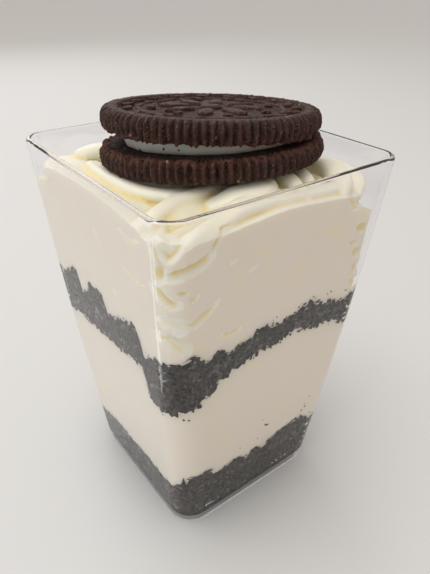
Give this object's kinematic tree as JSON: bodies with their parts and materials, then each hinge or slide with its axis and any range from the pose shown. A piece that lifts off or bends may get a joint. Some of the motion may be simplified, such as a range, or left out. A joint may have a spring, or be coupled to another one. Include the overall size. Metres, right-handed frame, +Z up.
{
  "type": "layered cream dessert in a clear cup",
  "caption": "Clear square tapered cup filled with layers of chocolate biscuit crumbs and whipped cream, topped with folded cream and a round chocolate sandwich biscuit.",
  "frame": {"origin": "middle of the cup's footprint, at the bottom of its foot", "axes": "+Z up through the cup; the face towards -Y and the face towards -X are the two faces that the picture shows"},
  "size_m": [0.056, 0.056, 0.0947],
  "materials": {
    "clear_plastic": "clear moulded polystyrene, glossy",
    "biscuit_crumbs": "dark dry crumbs, pressed, matt",
    "whipped_cream": "soft ivory whipped cream, faint sheen",
    "chocolate_biscuit": "very dark baked biscuit, porous, matt",
    "biscuit_filling": "firm off-white sugar filling"
  },
  "bodies": {
    "root": {"cup": "clear_plastic", "crumb_base": "biscuit_crumbs", "cream_lower": "whipped_cream", "crumb_middle": "biscuit_crumbs", "cream_upper": "whipped_cream", "wafer_lower": "chocolate_biscuit", "cookie_filling": "biscuit_filling", "wafer_upper": "chocolate_biscuit"}
  },
  "joints": []
}
